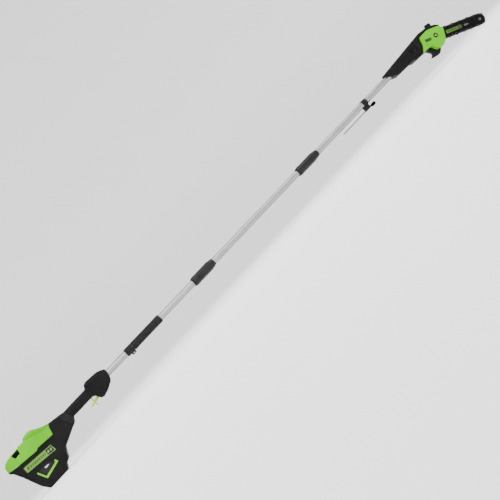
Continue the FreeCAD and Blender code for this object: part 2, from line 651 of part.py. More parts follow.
def foam_grip():
    start, end = GRIP
    foam = turned([(start, 0), (start, GRIP_R, 2), (end, GRIP_R, 3), (end, 0)])
    return foam.cut(rod(TUBE_R + 0.02, (start - 1, 0, 0), (end + 1, 0, 0)))


def tool_clip():
    """Clip on the tube that holds the bar wrench below the pole."""
    band = turned([(CLIP_X - 13, 0), (CLIP_X - 13, 15.3, 1.2), (CLIP_X + 13, 15.3, 1.2), (CLIP_X + 13, 0)])
    block = prism([(CLIP_X - 22, -10, 2), (CLIP_X - 21, -33.5, 3), (CLIP_X + 8, -33.5, 3),
                   (CLIP_X + 10, -10, 2)], -6, 6)
    whole = fused([band, block])
    return whole.cut(rod(TUBE_R + 0.02, (CLIP_X - 40, 0, 0), (CLIP_X + 40, 0, 0))).cut(
        rod(2.0 + FIT, (CLIP_X - 40, 0, WRENCH_Z), (CLIP_X + 40, 0, WRENCH_Z)))


def wrench():
    """Combined screwdriver and socket key: flat blade behind, double socket ahead."""
    shank = rod(2.0, (1921, 0, WRENCH_Z), (2108, 0, WRENCH_Z))
    blade = box(1918.5, 1932, -3.2, 3.2, WRENCH_Z - 0.9, WRENCH_Z + 0.9)
    key = rod(7.5, (2115, -13, WRENCH_Z - 1.5), (2115, 13, WRENCH_Z - 1.5))
    hexes = []
    for across, y0, y1 in ((5.0, -14, -4), (4.2, 4, 14)):
        corners = [(across * 1.155 * math.cos(math.radians(60 * k)),
                    across * 1.155 * math.sin(math.radians(60 * k))) for k in range(6)]
        pocket = prism(corners, y0, y1)
        pocket.translate(V(2115, 0, WRENCH_Z - 1.5))
        hexes.append(pocket)
    whole = fused([shank, blade, key])
    for pocket in hexes:
        whole = whole.cut(pocket)
    return whole


# ---------------------------------------------------------------- saw head
HEAD_SIDE = [(2241.6, 13), (2241.6, 21.7, 1), (2379.5, 30.6, 60), (2489, 38, 60), (2532, 30.5, 60),
             (2569, 15.5, 24), (2588, -2, 10), (2582, -24, 10), (2572, -46, 16), (2547, -70, 12),
             (2529, -76, 10), (2511, -72, 8), (2497, -61, 10), (2485, -42.5, 8), (2392, -36.5, 30),
             (2379.5, -29, 20), (2290, -25.6, 8), (2263, -12.9)]
COVER_SIDE = [(2435.5, -39.6, 1.5), (2458, -15, 30), (2473, 20, 7), (2520, 21.4, 50), (2578, -3, 16),
              (2585.5, -26, 12), (2558, -66, 20), (2530, -80, 16), (2499, -71, 16), (2485.5, -41.5, 12)]
STEP = [(2430, -60), (2430, -43.5), (2455.8, -14.5, 30), (2471.5, 22.2, 7), (2521, 23.6, 50),
        (2579.5, -1.2, 16), (2620, -20), (2620, -120), (2430, -120)]
DECK_Y = -22.0                   # face that carries the bar
COVER_FACE = -46.0
CARRIER = (-8.2, -3.0)           # gear carrier plate
GEARS = (-15.4, -9.4)
CAP_AXIS = V(0.30, 0, 0.954)
CAP_BASE = (2559.5, -2.0, 17.6)
CAP_R = 14.6
HEAD_WALL = 3.0


def head_form(inset=0.0):
    """Body of the head, widening from the pole's sleeve to the gear case, or the same drawn in by inset."""
    stations = ((2236, 22.0, 22.0), (2379, 32.0, 31.0), (2462, 37.0, 38.0), (2610, 37.0, 38.0))
    wires = []
    for x, near, far in stations:
        top = 22 + (x - 2236) * 0.068 if x < 2480 else 38.6
        near, far, top, corner = near - inset, far - inset, top - inset, 12 - inset
        wires.append(outline([(-near, -90, corner), (-near, top, corner), (far, top, corner),
                              (far, -90, corner)], "yz", x))
    rounded = section(37 - inset, 60, 4, -43.5 + inset, 15 - inset, 2236, 2476 - inset)
    front = box(2476 - inset, 2640, -60, 60, -120, 80)
    return Part.makeLoft(wires, True, True).common(fused([rounded, front]))


def head_shell():
    outer = head_form().common(prism(HEAD_SIDE, -60, 60))
    case_back = box(2500, 2640, 22, 80, -120, -30)
    outer = outer.cut(case_back)
    room = head_form(HEAD_WALL)
    hollow_side = [(2300, 20), (2379, 27.5), (2489, 34.6, 60), (2530, 27.4, 40), (2567, 12.4, 20),
                   (2583.5, -3, 8), (2578.5, -24, 8), (2568.5, -45, 12), (2545, -66.5, 10),
                   (2529, -72.5, 8), (2513, -69, 6), (2500, -59, 8), (2486.5, -39.4, 6), (2392, -33.4),
                   (2379, -26), (2300, -21)]
    hollow = prism(hollow_side, DECK_Y + 3.2, 60).common(room)
    near_hollow = prism([(2300, 19), (2379, 26), (2440, 31), (2440, -33), (2392, -32), (2379, -25),
                         (2300, -20)], -60, DECK_Y + 3.2).common(room)
    solid_back = box(2497, 2640, 19, 80, -120, -27)
    hollow = hollow.cut(solid_back)
    step = prism(STEP, -80, DECK_Y)
    shell = outer.cut(hollow).cut(near_hollow).cut(step)
    x, z = SPROCKET
    stud = bar_point(STUD_AT, 0)
    cuts = [
        rod(TUBE_R + 0.05, (2236, 0, 0), (FRONT_TUBE[1] + 1, 0, 0)),
        rod(5, (FRONT_TUBE[1], 0, 0), (2310, 0, 0)),
        rod(11.05, (x, DECK_Y - 1, z), (x, DECK_Y + 4, z)),
        rod(4.02, (stud[0], DECK_Y - 1, stud[2]), (stud[0], DECK_Y + 4, stud[2])),
        tension_channel(),
        rod(9.0, CAP_BASE, tuple(V(*CAP_BASE) + CAP_AXIS * 9)),
        rod(9.0, tuple(V(*CAP_BASE) - CAP_AXIS * 6), CAP_BASE)]
    for k in range(5):
        vent_x = 2392 + 8 * k
        cuts.append(prism([(vent_x, -8, 1), (vent_x + 3, -8, 1), (vent_x + 9, 14, 1), (vent_x + 6, 14, 1)],
                          -60, 60))
    for cut in cuts:
        shell = shell.cut(cut)
    return shell.cut(head_screws())


TENSION_H, TENSION_Y = 10.0, -16.8


def tension_channel():
    """Clearance through the deck for the tension screw, its block and its pin."""
    s = TENSION_AT
    slot = box(s - TENSION_TRAVEL - 5, s + 6, DECK_Y - BAR_Y - 1, -BAR_Y - 11,
               TENSION_H - 5, TENSION_H + 5)
    bore = rod(2.9, (s - 12, TENSION_Y - BAR_Y, TENSION_H), (140, TENSION_Y - BAR_Y, TENSION_H))
    mouth = rod(4.6, (s + 18, TENSION_Y - BAR_Y, TENSION_H), (140, TENSION_Y - BAR_Y, TENSION_H))
    return to_bar(fused([slot, bore, mouth]))


def tension_block():
    """Slab nut on the tension screw; its pin draws the bar along."""
    s = TENSION_AT
    y = TENSION_Y - BAR_Y
    block = box(s - 4, s + 4, y - 3.6, y + 4.4, TENSION_H - 4.4, TENSION_H + 4.4)
    pin = rod(2.3, (s, -1.8, TENSION_H), (s, y, TENSION_H))
    thread = rod(2.0 + 0.35, (s - 9, y, TENSION_H), (s + 9, y, TENSION_H))
    return to_bar(fused([block, pin]).cut(thread))


def tension_screw():
    s = TENSION_AT
    y = TENSION_Y - BAR_Y
    shank = rod(2.0, (s - 11.5, y, TENSION_H), (s + 20, y, TENSION_H))
    head = rod(4.0, (s + 20, y, TENSION_H), (s + 25, y, TENSION_H))
    slot = box(s + 23.4, s + 26, y - 0.6, y + 0.6, TENSION_H - 5, TENSION_H + 5)
    return to_bar(fused([shank, head]).cut(slot))


def deck_insert():
    """Steel wear plate under the bar."""
    y0, y1 = DECK_Y - 0.1 - BAR_Y - 2.4, DECK_Y - 0.1 - BAR_Y
    plate = prism([(20, -12, 3), (20, 12, 3), (98, 12, 3), (98, -12, 3)], y0, y1)
    s = TENSION_AT
    opening = [(s - 11, TENSION_H - 4, 3), (s - 11, 20), (s + 6, 20), (s + 6, TENSION_H - 4, 3)]
    plate = plate.cut(prism(opening, -9, 9))
    plate = plate.cut(rod(4.1, (STUD_AT, -9, 0), (STUD_AT, 9, 0)))
    return to_bar(plate)


def bar_stud():
    x, _, z = bar_point(STUD_AT, 0)
    shank = rod(4.0, (x, -44.5, z), (x, -14, z))
    return fused([shank, rod(7.5, (x, -18.5, z), (x, -14, z))])


def output_shaft():
    x, z = SPROCKET
    return turned_y([(0, -37.5), (3.6, -37.5), (4.0, -37.1), (4.0, -3.4), (0, -3.4)], x, z)


def bearings():
    """Ball-bearing cartridges of the output shaft and the motor."""
    x, z = SPROCKET
    mx, mz = MOTOR
    return group([
        ring(11.0, 4.0 + FIT, (x, DECK_Y, z), (x, DECK_Y + 5, z)),
        ring(9.0, 4.0 + FIT, (x, CARRIER[0], z), (x, CARRIER[1], z)),
        ring(8.0, 3.0 + FIT, (mx, CARRIER[0], mz), (mx, CARRIER[1], mz)),
        ring(6.5, 3.0 + FIT, (mx, 29.5, mz), (mx, 33.5, mz))])


def gear_carrier():
    """Aluminium plate that carries the inner bearings and the motor."""
    x, z = SPROCKET
    mx, mz = MOTOR
    plate = prism([(mx - 24, -31, 6), (mx - 24, 24, 8), (x + 22, 24, 10), (x + 24, -36, 8), (x - 6, -37, 8)],
                  *CARRIER)
    return plate.cut(rod(9.02, (x, -20, z), (x, 20, z))).cut(rod(8.02, (mx, -20, mz), (mx, 20, mz)))


def drive_gear():
    wheel = gear(GEAR_TEETH, MODULE, *GEARS, SPROCKET, 4.02)
    for k in range(6):
        angle = math.radians(60 * k)
        x, z = SPROCKET[0] + 14.5 * math.cos(angle), SPROCKET[1] + 14.5 * math.sin(angle)
        wheel = wheel.cut(rod(4.2, (x, -30, z), (x, 0, z)))
    return wheel


def drive_sprocket():
    """Rim sprocket: a toothed core between two flanges that carry the tie straps."""
    x, z = SPROCKET
    core = gear(DRIVE_TEETH, 3.4, BAR_Y - 1.0, BAR_Y + 1.0, SPROCKET, 4.02)
    core = core.common(rod(10.8, (x, BAR_Y - 2, z), (x, BAR_Y + 2, z)))
    flanges = [ring(13.8, 4.02, (x, BAR_Y + side * 1.0, z), (x, BAR_Y + side * 2.6, z)) for side in (-1, 1)]
    washer = ring(8.0, 4.02, (x, BAR_Y - 5.4, z), (x, BAR_Y - 2.6, z))
    return fused([core] + flanges + [washer])


def pinion():
    """Motor pinion, turned half a tooth so that it meshes with the gear."""
    return gear(PINION_TEETH, MODULE, GEARS[0] - 0.4, GEARS[1] + 0.2, MOTOR, 3.02, math.pi / PINION_TEETH)


def motor_shaft():
    return rod(3.0, (MOTOR[0], GEARS[0] - 0.9, MOTOR[1]), (MOTOR[0], 33.8, MOTOR[1]))


def motor_rotor():
    x, z = MOTOR
    core = ring(14.5, 3.02, (x, 2.5, z), (x, 27.5, z))
    for k in range(10):
        angle = math.radians(36 * k)
        slot = rod(1.6, (x + 13.2 * math.cos(angle), 0, z + 13.2 * math.sin(angle)),
                   (x + 13.2 * math.cos(angle), 30, z + 13.2 * math.sin(angle)))
        core = core.cut(slot)
    return core


def motor_stator():
    """Laminated ring with inner poles, in its can's bore."""
    x, z = MOTOR
    core = ring(26.0, 15.2, (x, 2.0, z), (x, 26.0, z))
    for k in range(12):
        pocket = prism([(17.5, -3.0, 1), (22.5, -4.2, 1), (22.5, 4.2, 1), (17.5, 3.0, 1)], 0, 30)
        pocket.rotate(V(0, 0, 0), V(0, 1, 0), 30 * k)
        pocket.translate(V(x, 0, z))
        core = core.cut(pocket)
    return core


def motor_can():
    x, z = MOTOR
    return turned_y([(6.52, 33.5), (6.52, 29.5), (26.05, 29.5), (26.05, -2.8), (MOTOR_R, -2.8),
                     (MOTOR_R, 30.2), (MOTOR_R - 1.3, 31.5), (9.5, 31.5), (9.5, 33.5)], x, z)


def oil_tank():
    """Blow-moulded tank below the filler."""
    body = prism([(2520, 24, 5), (2534, 22.5, 10), (2562, 10.5, 6), (2575, -3, 6), (2570, -16, 5),
                  (2520, -6, 5)], 0, 18)
    foot, lip, over = (tuple(V(*CAP_BASE) + CAP_AXIS * reach) for reach in (-9.0, 4.2, 8.0))
    neck = rod(8.0, foot, lip)
    tank = fused([body, neck])
    inside = prism([(2522.5, 21, 4), (2534, 19.5, 8), (2560.5, 8.5, 4), (2572, -3, 4), (2568.5, -13, 3),
                    (2522.5, -4, 3)], 2.5, 15.5)
    return tank.cut(inside).cut(rod(6.0, foot, over))


def oil_cap():
    """Screw cap with finger notches and a central grip bar."""
    base = V(*CAP_BASE) + CAP_AXIS * 4.6
    skirt = Part.makeCylinder(CAP_R, 17, base, CAP_AXIS)
    skirt = filleted(skirt, 1.6, lambda edge: (edge.CenterOfMass - base).Length > 9)
    plug = Part.makeCylinder(5.4, 8, base - CAP_AXIS * 7.5, CAP_AXIS)
    whole = fused([skirt, plug])
    across = V(0, 1, 0)
    forward = across.cross(CAP_AXIS)
    for k in range(10):
        angle = math.radians(36 * k)
        out = forward * math.cos(angle) + across * math.sin(angle)
        whole = whole.cut(Part.makeCylinder(1.5, 20, base + out * (CAP_R + 0.6) - CAP_AXIS, CAP_AXIS))
    return whole


def limb_hook():
    """Hook under the head that rests on the branch."""
    side = [(2452, -36), (2461, -43.5, 10), (2474, -60, 12), (2470.5, -75, 8), (2454.3, -80, 0.8),
            (2478, -88.6, 20), (2497, -93, 12), (2509, -89, 10), (2531, -72.5, 3), (2527, -60), (2500, -36)]
    hook = prism(side, -20, -6)
    blank = prism(HEAD_SIDE, -30, 10, inset=-0.05)
    return hook.cut(blank)


def head_screws():
    spots = ((2330, 2, 27.8), (2414, -26, 34.2), (2420, 26, 34.6), (2500, 30, 38.1), (2580, 2, 38.1))
    return group([screw(3.0, 9, 1.5, (x, y, z), (0, -1, 0), 1.6, 1.2) for x, z, y in spots])


def sprocket_cover():
    outer = prism(COVER_SIDE, COVER_FACE, DECK_Y - 0.4)
    outer = filleted(outer, 2.6, in_plane("Y", COVER_FACE))
    cavity = prism(COVER_SIDE, COVER_FACE + 2.6, DECK_Y + 1, inset=2.6)
    x, _, z = bar_point(STUD_AT, 0)
    cup = rod(14.0, (x, COVER_FACE + 0.5, z), (x, -36.2, z))
    mouth = to_bar(box(62, 200, -8.5, 8, -32.5, 33.5))
    recess = rod(11.6, (x, -50, z), (x, -38.6, z))
    hole = rod(4.4, (x, -50, z), (x, -30, z))
    window = prism(window_side(0), -50, COVER_FACE + 5.6)
    floor = prism(window_side(2.0), COVER_FACE + 1, COVER_FACE + 7.2)
    body = fused([outer.cut(cavity), cup, floor.common(outer)])
    return body.cut(mouth).cut(recess).cut(hole).cut(window)


def window_side(grow):
    """Slanted oval of the chain-side window, enlarged by grow."""
    tilt = math.radians(-21)
    half_long, half_wide = 17.0 + grow, 7.0 + grow
    points = []
    for u, v in ((-half_long, -half_wide), (-half_long, half_wide), (half_long, half_wide),
                 (half_long, -half_wide)):
        points.append((2492 + u * math.cos(tilt) - v * math.sin(tilt),
                       -14.5 + u * math.sin(tilt) + v * math.cos(tilt), half_wide - 0.5))
    return points


def cover_window():
    """Dark insert in the cover's oval, with a round marker dome."""
    plate = prism(window_side(-0.3), COVER_FACE + 3.4, COVER_FACE + 5.5)
    dome = rod(4.2, (2496, COVER_FACE + 1.8, -18), (2496, COVER_FACE + 3.6, -18))
    return fused([plate, dome])


def bar_nut():
    x, _, z = bar_point(STUD_AT, 0)
    corners = [(x + 7.5 * math.cos(math.radians(60 * k + 10)), z + 7.5 * math.sin(math.radians(60 * k + 10)))
               for k in range(6)]
    hexagon = prism(corners, -45.2, -40.2)
    flange = rod(9.2, (x, -40.4, z), (x, -38.9, z))
    return fused([hexagon, flange]).cut(rod(4.0 + FIT, (x, -50, z), (x, -30, z)))


# ---------------------------------------------------------------- assembly
def assembly():
    housing_left, housing_right = halves(housing_shell())
    handle_left, handle_right = halves(handle_shell())
    head_left, head_right = halves(head_shell())
    joint_1, joint_2 = REAR_TUBE[1] - 1, MID_TUBE[1] - 1
    return {
        "housing_left": housing_left, "housing_right": housing_right, "hood": hood(),
        "label_plates": group([label_plate(side) for side in (-1, 1)]),
        "side_trims": group([side_trim(side) for side in (-1, 1)]),
        "terminal_block": terminal_block(), "controller_board": controller_board(),
        "housing_screws": housing_screws(), "neck_collar": neck_collar(),
        "battery_case": battery_case(), "battery_cells": battery_cells(),
        "battery_contacts": battery_contacts(), "release_button": release_button(),
        "handle_left": handle_left, "handle_right": handle_right, "handle_pins": handle_pins(),
        "trigger": trigger(), "lock_lever": lock_lever(),
        "microswitch": microswitch(), "switch_plunger": switch_plunger(),
        "rear_tube": pole_tube(REAR_TUBE), "mid_tube": pole_tube(MID_TUBE),
        "front_tube": pole_tube(FRONT_TUBE),
        "rear_lead": lead(457.0, joint_1, sockets=True),
        "mid_lead": lead(joint_1 + 4, joint_2, pins=True, sockets=True),
        "front_lead": lead(joint_2 + 4, 2304.0, pins=True),
        "coupler_1_socket": socket(COUPLER_1, MID_TUBE[0] - 2),
        "coupler_2_socket": socket(COUPLER_2, FRONT_TUBE[0] - 2),
        "coupler_1_sleeve": coupler_sleeve(COUPLER_1), "coupler_2_sleeve": coupler_sleeve(COUPLER_2),
        "strap_collar": strap_collar(), "foam_grip": foam_grip(),
        "tool_clip": tool_clip(), "wrench": wrench(),
        "head_left": head_left, "head_right": head_right, "gear_carrier": gear_carrier(),
        "bearings": bearings(), "motor_can": motor_can(), "motor_stator": motor_stator(),
        "motor_rotor": fused([motor_rotor(), motor_shaft(), pinion()]),
        "output_shaft": output_shaft(), "drive_gear": drive_gear(),
        "drive_sprocket": drive_sprocket(), "oil_tank": oil_tank(), "oil_cap": oil_cap(),
        "limb_hook": limb_hook(), "head_screws": head_screws(), "bar_stud": bar_stud(),
        "deck_insert": deck_insert(), "tension_screw": tension_screw(),
        "tension_block": tension_block(), "sprocket_cover": sprocket_cover(),
        "cover_window": cover_window(), "bar_nut": bar_nut(),
        "guide_bar": to_bar(guide_bar()), "nose_sprocket": to_bar(nose_sprocket()), **CHAIN}


def main():
    os.makedirs("parts", exist_ok=True)
    nodes = assembly()
    bounds = group(list(nodes.values())).optimalBoundingBox()
    middle = V((bounds.XMin + bounds.XMax) / 2, (bounds.YMin + bounds.YMax) / 2, bounds.ZMin)
    for name, shape in nodes.items():
        moved = shape.copy()
        moved.translate(-middle)
        moved.exportStep(f"parts/{name}.step")
    print(len(nodes), "nodes, pole axis", -middle.z, "above the floor; origin at station", middle.x)


if __name__ == "__main__":
    main()
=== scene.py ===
"""Looks of the sectional pole saw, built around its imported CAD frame.

Places are in millimetres along the pole: station from the rear end of the battery housing, y across
the pole, and height above the pole's centreline. at() turns them into metres in the part's frame.
"""
import json
import math

import bmesh
import bpy
from mathutils import Matrix, Vector


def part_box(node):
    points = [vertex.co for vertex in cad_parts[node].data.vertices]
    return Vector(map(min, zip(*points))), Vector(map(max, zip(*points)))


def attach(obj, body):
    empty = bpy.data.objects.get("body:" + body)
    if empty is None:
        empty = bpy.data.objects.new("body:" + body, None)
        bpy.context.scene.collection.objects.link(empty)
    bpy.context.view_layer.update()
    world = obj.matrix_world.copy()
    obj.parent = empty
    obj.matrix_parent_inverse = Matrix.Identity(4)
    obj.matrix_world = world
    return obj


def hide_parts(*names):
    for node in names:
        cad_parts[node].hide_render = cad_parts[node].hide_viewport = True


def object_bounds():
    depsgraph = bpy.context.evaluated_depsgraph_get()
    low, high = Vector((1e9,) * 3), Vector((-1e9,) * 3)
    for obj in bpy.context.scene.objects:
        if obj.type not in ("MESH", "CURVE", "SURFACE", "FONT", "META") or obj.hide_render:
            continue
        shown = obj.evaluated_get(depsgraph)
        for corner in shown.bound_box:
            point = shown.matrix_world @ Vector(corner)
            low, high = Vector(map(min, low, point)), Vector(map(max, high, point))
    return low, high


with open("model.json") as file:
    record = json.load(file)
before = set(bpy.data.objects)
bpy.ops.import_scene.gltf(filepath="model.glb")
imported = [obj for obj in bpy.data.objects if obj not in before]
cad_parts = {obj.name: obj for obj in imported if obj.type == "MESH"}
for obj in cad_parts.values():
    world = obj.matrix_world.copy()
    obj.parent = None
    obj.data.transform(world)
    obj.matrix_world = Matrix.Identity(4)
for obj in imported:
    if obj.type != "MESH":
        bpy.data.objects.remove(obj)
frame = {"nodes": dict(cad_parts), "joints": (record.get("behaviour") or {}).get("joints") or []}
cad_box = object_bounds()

MM = 0.001
NODES = frame["nodes"]
REAR_END = cad_box[0][0]
TUBE_LOW, TUBE_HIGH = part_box("mid_tube")
AXIS_Y = (TUBE_LOW[1] + TUBE_HIGH[1]) / 2
AXIS_Z = (TUBE_LOW[2] + TUBE_HIGH[2]) / 2
TUBE_R = (TUBE_HIGH[2] - TUBE_LOW[2]) / 2


def at(x, y, z):
    """Metres in the frame for millimetres along, across and above the pole."""
    return Vector((REAR_END + x * MM, AXIS_Y + y * MM, AXIS_Z + z * MM))


# ---------------------------------------------------------------- materials
NOISE_ROUGHNESS = 0.55
NOISE_LOW, NOISE_HIGH = 0.3, 0.7      # the part of the noise that carries the variation
COAT_ROUGHNESS = 0.1


class Shader:
    """A Principled material whose colour, roughness and bump come from object-space noise."""

    def __init__(self, name, rough, metallic=0.0, specular=0.5, coat=0.0):
        self.material = bpy.data.materials.new(name)
        self.material.use_nodes = True
        self.tree = self.material.node_tree
        self.shader = self.tree.nodes["Principled BSDF"]
        self.shader.inputs["Roughness"].default_value = rough
        self.shader.inputs["Metallic"].default_value = metallic
        self.shader.inputs["Specular IOR Level"].default_value = specular
        self.shader.inputs["Coat Weight"].default_value = coat
        self.shader.inputs["Coat Roughness"].default_value = COAT_ROUGHNESS
        self.coords = self.tree.nodes.new("ShaderNodeTexCoord").outputs["Object"]
        self.height = None

    def link(self, source, target):
        self.tree.links.new(source, target)

    def scaled(self, stretch):
        node = self.tree.nodes.new("ShaderNodeMapping")
        node.inputs["Scale"].default_value = stretch
        self.link(self.coords, node.inputs["Vector"])
        return node.outputs["Vector"]

    def noise(self, scale, detail, stretch=None):
        node = self.tree.nodes.new("ShaderNodeTexNoise")
        node.inputs["Scale"].default_value = scale
        node.inputs["Detail"].default_value = detail
        node.inputs["Roughness"].default_value = NOISE_ROUGHNESS
        self.link(self.scaled(stretch) if stretch else self.coords, node.inputs["Vector"])
        return node.outputs["Fac"]

    def ramp(self, source, stops):
        """Colour ramp through (position, (r, g, b)) stops."""
        node = self.tree.nodes.new("ShaderNodeValToRGB")
        elements = node.color_ramp.elements
        while len(elements) < len(stops):
            elements.new(0.5)
        for element, (position, colour) in zip(elements, stops):
            element.position = position
            element.color = (*colour, 1)
        self.link(source, node.inputs["Fac"])
        return node.outputs["Color"]

    def span(self, source, low, high):
        """The noise's middle range stretched to run from low to high."""
        node = self.tree.nodes.new("ShaderNodeMapRange")
        node.inputs["From Min"].default_value = NOISE_LOW
        node.inputs["From Max"].default_value = NOISE_HIGH
        node.inputs["To Min"].default_value = low
        node.inputs["To Max"].default_value = high
        self.link(source, node.inputs["Value"])
        return node.outputs["Result"]

    def colour(self, source, dark, light):
        colour = self.ramp(source, [(NOISE_LOW, dark), (NOISE_HIGH, light)])
        self.link(colour, self.shader.inputs["Base Color"])

    def roughness(self, source, low, high):
        self.link(self.span(source, low, high), self.shader.inputs["Roughness"])

    def bump(self, source, distance, strength=0.4):
        """Stack a bump of a height in metres on those already there."""
        node = self.tree.nodes.new("ShaderNodeBump")
        node.inputs["Strength"].default_value = strength
        node.inputs["Distance"].default_value = distance
        self.link(source, node.inputs["Height"])
        if self.height is not None:
            self.link(self.height, node.inputs["Normal"])
        self.height = node.outputs["Normal"]
        self.link(self.height, self.shader.inputs["Normal"])

    def soft_edges(self, radius):
        node = self.tree.nodes.new("ShaderNodeBevel")
        node.samples = 4
        node.inputs["Radius"].default_value = radius
        self.height = node.outputs["Normal"]
        self.link(self.height, self.shader.inputs["Normal"])


def moulded(name, dark, light, rough=(0.34, 0.5), grain=2600, depth=0.00005, specular=0.16, coat=0.0,
            edges=0.0006):
    """Injection-moulded plastic: fine spark-eroded grain, cloudy gloss and faint scuffs."""
    made = Shader(name, sum(rough) / 2, specular=specular, coat=coat)
    made.soft_edges(edges)
    made.colour(made.noise(14, 4), dark, light)
    made.roughness(made.noise(45, 5), *rough)
    made.bump(made.noise(grain, 2), depth, 0.35)
    made.bump(made.noise(160, 6, stretch=(0.2, 1, 1)), 0.00002, 0.25)
    return made.material


def metal(name, dark, light, rough=(0.25, 0.42), brush=(1, 1, 1), scale=900, depth=0.00002, edges=0.0003,
          rim=1.0):
    """Bare or blackened metal with directional brushing; rim dims its glancing reflections."""
    made = Shader(name, sum(rough) / 2, metallic=1.0)
    made.shader.inputs["Specular Tint"].default_value = (rim, rim, rim, 1)
    made.soft_edges(edges)
    made.colour(made.noise(60, 5), dark, light)
    made.roughness(made.noise(scale, 3, stretch=brush), *rough)
    made.bump(made.noise(scale, 3, stretch=brush), depth, 0.3)
    return made.material


def foam_material():
    made = Shader("closed_cell_foam", 0.85, specular=0.12)
    cells = made.tree.nodes.new("ShaderNodeTexVoronoi")
    cells.inputs["Scale"].default_value = 900
    made.link(made.coords, cells.inputs["Vector"])
    made.colour(made.noise(120, 6), (0.006, 0.006, 0.006), (0.018, 0.018, 0.018))
    made.bump(cells.outputs["Distance"], 0.0006, 0.5)
    made.bump(made.noise(350, 4), 0.0005, 0.35)
    return made.material


BLACK = moulded("black_moulded_plastic", (0.0035, 0.0035, 0.0036), (0.0065, 0.0065, 0.0065), (0.5, 0.64),
                specular=0.08)
BLACK_SOFT = moulded("black_matt_plastic", (0.005, 0.005, 0.005), (0.009, 0.009, 0.009), (0.5, 0.62), 1800,
                     specular=0.12)
BLACK_GLOSS = moulded("black_gloss_plastic", (0.004, 0.004, 0.004), (0.007, 0.007, 0.007), (0.36, 0.46),
                      specular=0.2)
GREEN = moulded("lime_moulded_plastic", (0.072, 0.345, 0.0), (0.092, 0.41, 0.0), (0.34, 0.46), 2200,
                specular=0.07)
PALE_GREEN = moulded("pale_green_plastic", (0.12, 0.34, 0.012), (0.15, 0.40, 0.02), (0.38, 0.5),
                     specular=0.14)
TRIGGER = moulded("trigger_plastic", (0.22, 0.52, 0.01), (0.27, 0.60, 0.02), (0.4, 0.52), specular=0.14)
LABEL = moulded("label_film", (0.10, 0.21, 0.03), (0.12, 0.25, 0.04), (0.36, 0.46), specular=0.14)
SMOKED = moulded("smoked_window", (0.015, 0.035, 0.006), (0.03, 0.06, 0.012), (0.2, 0.3), coat=0.3)
LENS = moulded("status_lens", (0.45, 0.47, 0.46), (0.62, 0.64, 0.62), (0.2, 0.3), coat=0.5)
PRINT_GREEN = moulded("bar_print_green", (0.05, 0.12, 0.012), (0.07, 0.16, 0.02), (0.4, 0.5))
PRINT_DEEP = moulded("bar_print_deep_green", (0.02, 0.06, 0.0), (0.03, 0.08, 0.0), (0.4, 0.5))
PRINT_OLIVE = moulded("bar_print_olive", (0.025, 0.04, 0.012), (0.04, 0.06, 0.02), (0.4, 0.5))
PRINT_GREY = moulded("bar_print_grey", (0.05, 0.06, 0.045), (0.08, 0.09, 0.07), (0.4, 0.5))
TANK = moulded("natural_polyethylene", (0.62, 0.62, 0.56), (0.72, 0.72, 0.66), (0.4, 0.55))
BOARD = moulded("circuit_board", (0.01, 0.09, 0.03), (0.02, 0.13, 0.05), (0.3, 0.45))
CABLE = moulded("cable_jacket", (0.02, 0.02, 0.02), (0.04, 0.04, 0.04), (0.45, 0.6))
CELL = moulded("cell_wrap", (0.05, 0.13, 0.30), (0.07, 0.18, 0.38), (0.3, 0.4))
ALUMINIUM = metal("brushed_aluminium_tube", (0.27, 0.27, 0.265), (0.33, 0.33, 0.32), (0.3, 0.38),
                  (0.02, 1, 1), 700, rim=0.02)
STEEL = metal("machined_steel", (0.45, 0.45, 0.46), (0.60, 0.60, 0.61), (0.25, 0.4))
DARK_STEEL = metal("blackened_steel", (0.007, 0.007, 0.007), (0.016, 0.016, 0.016), (0.35, 0.5), rim=0.05)
CHAIN_STEEL = metal("oiled_chain_steel", (0.018, 0.018, 0.018), (0.05, 0.05, 0.05), (0.32, 0.48),
                    rim=0.1)
BAR_PAINT = metal("black_bar_paint", (0.006, 0.006, 0.006), (0.012, 0.012, 0.012), (0.35, 0.5), rim=0.05)
GREEN_INK = moulded("dark_green_ink", (0.03, 0.08, 0.006), (0.04, 0.10, 0.01), (0.35, 0.45))
PALE_PRINT = moulded("pale_print", (0.11, 0.17, 0.07), (0.15, 0.22, 0.10), (0.35, 0.45))
BRASS = metal("plated_brass", (0.55, 0.40, 0.16), (0.68, 0.50, 0.22))
CORE = metal("motor_laminations", (0.10, 0.10, 0.10), (0.18, 0.18, 0.18), (0.4, 0.6))
FOAM = foam_material()

FINISHES = {
    BLACK: ("housing_left", "housing_right", "handle_left", "handle_right", "head_left", "head_right",
            "oil_cap", "release_button", "battery_case"),
    BLACK_SOFT: ("neck_collar", "coupler_1_socket", "coupler_2_socket", "strap_collar", "tool_clip",
                 "terminal_block", "microswitch", "limb_hook"),
    BLACK_GLOSS: ("coupler_1_sleeve", "coupler_2_sleeve"),
    GREEN: ("hood", "sprocket_cover"), PALE_GREEN: ("side_trims",), LABEL: ("label_plates",),
    TRIGGER: ("trigger", "lock_lever"), SMOKED: ("cover_window",), TANK: ("oil_tank",),
    BOARD: ("controller_board",), CABLE: ("rear_lead", "mid_lead", "front_lead"), CELL: ("battery_cells",),
    ALUMINIUM: ("rear_tube", "mid_tube", "front_tube", "gear_carrier"),
    STEEL: ("handle_pins", "bearings", "motor_can", "output_shaft", "drive_gear", "drive_sprocket",
            "bar_stud", "deck_insert", "tension_screw", "tension_block", "nose_sprocket"),
    DARK_STEEL: ("housing_screws", "head_screws", "wrench", "bar_nut"), BAR_PAINT: ("guide_bar",),
    CHAIN_STEEL: ("chain_drive_links", "chain_tie_straps", "chain_cutters"),
    BRASS: ("battery_contacts", "switch_plunger"), CORE: ("motor_stator", "motor_rotor"),
    FOAM: ("foam_grip",)}


def finish_nodes():
    for material, names in FINISHES.items():
        for name in names:
            slots = NODES[name].data.materials
            if len(slots):
                slots[0] = material
            else:
                slots.append(material)


